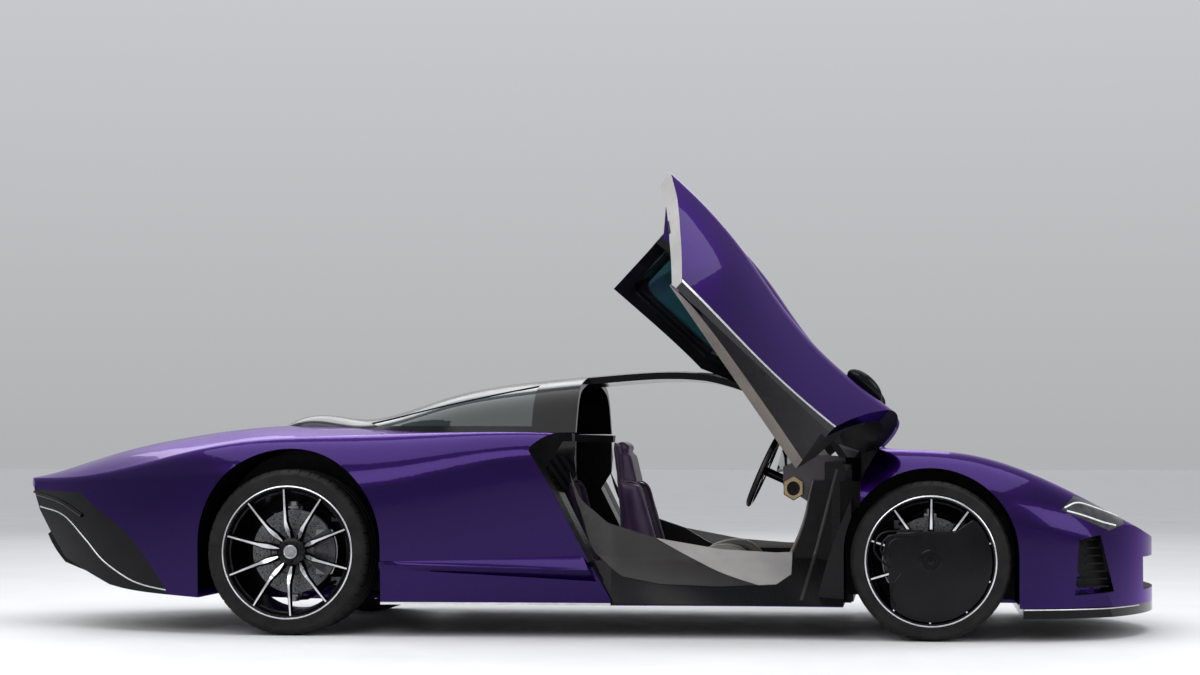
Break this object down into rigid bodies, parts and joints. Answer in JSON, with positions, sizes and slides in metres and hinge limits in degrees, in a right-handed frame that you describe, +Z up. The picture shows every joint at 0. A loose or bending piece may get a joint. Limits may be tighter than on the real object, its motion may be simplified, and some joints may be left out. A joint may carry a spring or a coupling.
{
  "type": "supercar",
  "caption": "Low teardrop-tailed three-seat supercar with central driving seat, doors swung up and outward, covered front wheels and low-profile tyres",
  "frame": {"origin": "on the ground at mid-length of the car, midway between the sides", "axes": "+X forward, +Y to the car's left, +Z up"},
  "size_m": [5.1369, 2.9748, 1.9632],
  "materials": {
    "body_paint": "glossy candy purple paint",
    "gloss_black": "gloss black",
    "carbon": "satin carbon fibre",
    "tinted_glass": "dark green tint",
    "lamp_glass": "clear lamp lens",
    "seat_leather": "dark plum leather",
    "trim_leather": "grey brown leather",
    "tyre": "black rubber",
    "rim_metal": "gloss black with machined edges",
    "disc_ceramic": "ground grey",
    "suspension_metal": "bare forged metal",
    "engine_metal": "cast metal"
  },
  "bodies": {
    "car": {"front_clam": "body_paint", "rear_clam": "body_paint", "rear_canopy": "gloss_black", "roof_frame": "gloss_black", "tub": "carbon", "sill_blades": "gloss_black", "tail_fascia": "gloss_black", "splitter": "carbon", "undertray": "carbon", "windscreen": "tinted_glass", "quarter_glass": "tinted_glass", "headlamps": "lamp_glass", "engine": "engine_metal", "dash": "trim_leather", "driver_seat": "seat_leather", "passenger_seats": "seat_leather", "knuckle_rear_left": "suspension_metal", "knuckle_rear_right": "suspension_metal", "wishbones": "suspension_metal"},
    "door_left": {"door_shell_left": "body_paint", "door_frame_left": "gloss_black", "door_glass_left": "tinted_glass", "door_trim_left": "trim_leather", "camera_pod_left": "gloss_black"},
    "upright_left": {"knuckle_front_left": "suspension_metal", "wheel_cover_left": "carbon"},
    "door_right": {"door_shell_right": "body_paint", "door_frame_right": "gloss_black", "door_glass_right": "tinted_glass", "door_trim_right": "trim_leather", "camera_pod_right": "gloss_black"},
    "upright_right": {"knuckle_front_right": "suspension_metal", "wheel_cover_right": "carbon"},
    "front_lid": {"front_lid": "body_paint"},
    "steering_wheel": {"steering_wheel": "gloss_black"},
    "wheel_front_left": {"tyre_front_left": "tyre", "rim_front_left": "rim_metal", "brake_disc_front_left": "disc_ceramic"},
    "wheel_front_right": {"tyre_front_right": "tyre", "rim_front_right": "rim_metal", "brake_disc_front_right": "disc_ceramic"},
    "wheel_rear_left": {"tyre_rear_left": "tyre", "rim_rear_left": "rim_metal", "brake_disc_rear_left": "disc_ceramic"},
    "wheel_rear_right": {"tyre_rear_right": "tyre", "rim_rear_right": "rim_metal", "brake_disc_rear_right": "disc_ceramic"}
  },
  "joints": [
    {"name": "steer_left", "type": "hinge", "parent": "car", "child": "upright_left", "pos_m": [1.5885, 0.815, 0.332], "axis": [0, 0, 1], "range_deg": [-28, 28]},
    {"name": "steer_right", "type": "hinge", "parent": "car", "child": "upright_right", "pos_m": [1.5885, -0.815, 0.332], "axis": [0, 0, 1], "range_deg": [-28, 28]},
    {"name": "spin_front_left", "type": "hinge", "parent": "upright_left", "child": "wheel_front_left", "pos_m": [1.5885, 0.945, 0.332], "axis": [0, 1, 0], "continuous": true},
    {"name": "spin_front_right", "type": "hinge", "parent": "upright_right", "child": "wheel_front_right", "pos_m": [1.5885, -0.945, 0.332], "axis": [0, 1, 0], "continuous": true},
    {"name": "spin_rear_left", "type": "hinge", "parent": "car", "child": "wheel_rear_left", "pos_m": [-1.1375, 0.945, 0.355], "axis": [0, 1, 0], "continuous": true},
    {"name": "spin_rear_right", "type": "hinge", "parent": "car", "child": "wheel_rear_right", "pos_m": [-1.1375, -0.945, 0.355], "axis": [0, 1, 0], "continuous": true},
    {"name": "door_left", "type": "hinge", "parent": "car", "child": "door_left", "pos_m": [1.25, 0.608, 0.853], "axis": [0.7995, 0.4421, -0.4067], "range_deg": [-76.75, 0]},
    {"name": "door_right", "type": "hinge", "parent": "car", "child": "door_right", "pos_m": [1.25, -0.608, 0.853], "axis": [-0.7995, 0.4421, 0.4067], "range_deg": [-76.75, 0]},
    {"name": "front_lid", "type": "hinge", "parent": "car", "child": "front_lid", "pos_m": [1.6, 0, 0.776], "axis": [0, -1, 0], "range_deg": [0, 50]},
    {"name": "steering_wheel", "type": "hinge", "parent": "car", "child": "steering_wheel", "pos_m": [0.845, 0, 0.7], "axis": [-0.9135, 0, 0.4067], "range_deg": [-350, 350]}
  ],
  "couplings": [
    {"joint": "steer_right", "follows": "steer_left", "ratio": 1},
    {"joint": "steering_wheel", "follows": "steer_left", "ratio": 12.5}
  ]
}
